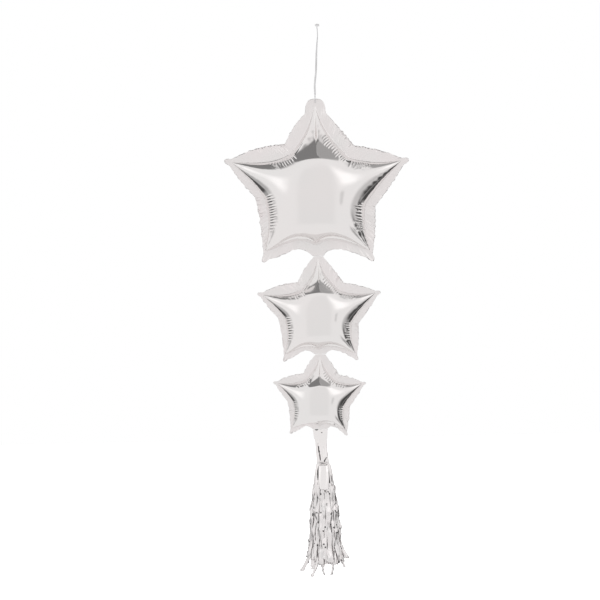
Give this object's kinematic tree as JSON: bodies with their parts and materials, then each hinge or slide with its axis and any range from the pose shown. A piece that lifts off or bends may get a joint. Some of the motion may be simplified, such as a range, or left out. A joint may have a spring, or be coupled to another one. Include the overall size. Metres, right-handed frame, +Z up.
{
  "type": "hanging star foil balloon column with foil tassel",
  "caption": "Inflated silver foil stars of falling size joined tip to base by film necks, hung on a ribbon, with a foil tassel below.",
  "frame": {"origin": "the upper end of the ribbon, where the column is hung", "axes": "+Z up along the column, +X to the right across the stars, +Y towards the back"},
  "size_m": [0.4429, 0.1578, 1.321],
  "materials": {
    "silver_film": "mirror-bright metallised film",
    "tassel_foil": "bright crinkled metallised foil",
    "ribbon_grey": "satin curling ribbon"
  },
  "bodies": {
    "ribbon": {"ribbon_top_knot": "ribbon_grey", "hanging_ribbon": "ribbon_grey"},
    "tie": {"tie_knot": "ribbon_grey", "tie_loop": "ribbon_grey"},
    "large_star": {"large_star_front_foil": "silver_film", "large_star_back_foil": "silver_film"},
    "medium_star": {"medium_star_front_foil": "silver_film", "medium_star_back_foil": "silver_film"},
    "small_star": {"small_star_front_foil": "silver_film", "small_star_back_foil": "silver_film"},
    "tassel": {"tassel_tail": "silver_film", "tassel_head": "tassel_foil", "tassel_wrap": "tassel_foil", "tassel_fringe_inner": "tassel_foil", "tassel_fringe_middle": "tassel_foil", "tassel_fringe_outer": "tassel_foil"}
  },
  "joints": [
    {"name": "ribbon_twist", "type": "hinge", "parent": "ribbon", "child": "tie", "pos_m": [-0.0084, 0, -0.1631], "axis": [0, 0, 1], "range_deg": [-180, 180]},
    {"name": "column_swing", "type": "hinge", "parent": "tie", "child": "large_star", "pos_m": [-0.0084, 0, -0.1884], "axis": [1, 0, 0], "range_deg": [-45, 45]},
    {"name": "medium_star_fold", "type": "hinge", "parent": "large_star", "child": "medium_star", "pos_m": [-0.0084, 0, -0.5568], "axis": [1, 0, 0], "range_deg": [-60, 60]},
    {"name": "small_star_fold", "type": "hinge", "parent": "medium_star", "child": "small_star", "pos_m": [-0.0084, 0, -0.792], "axis": [1, 0, 0], "range_deg": [-60, 60]},
    {"name": "tassel_fold", "type": "hinge", "parent": "small_star", "child": "tassel", "pos_m": [-0.0084, 0, -0.972], "axis": [1, 0, 0], "range_deg": [-60, 60]}
  ]
}
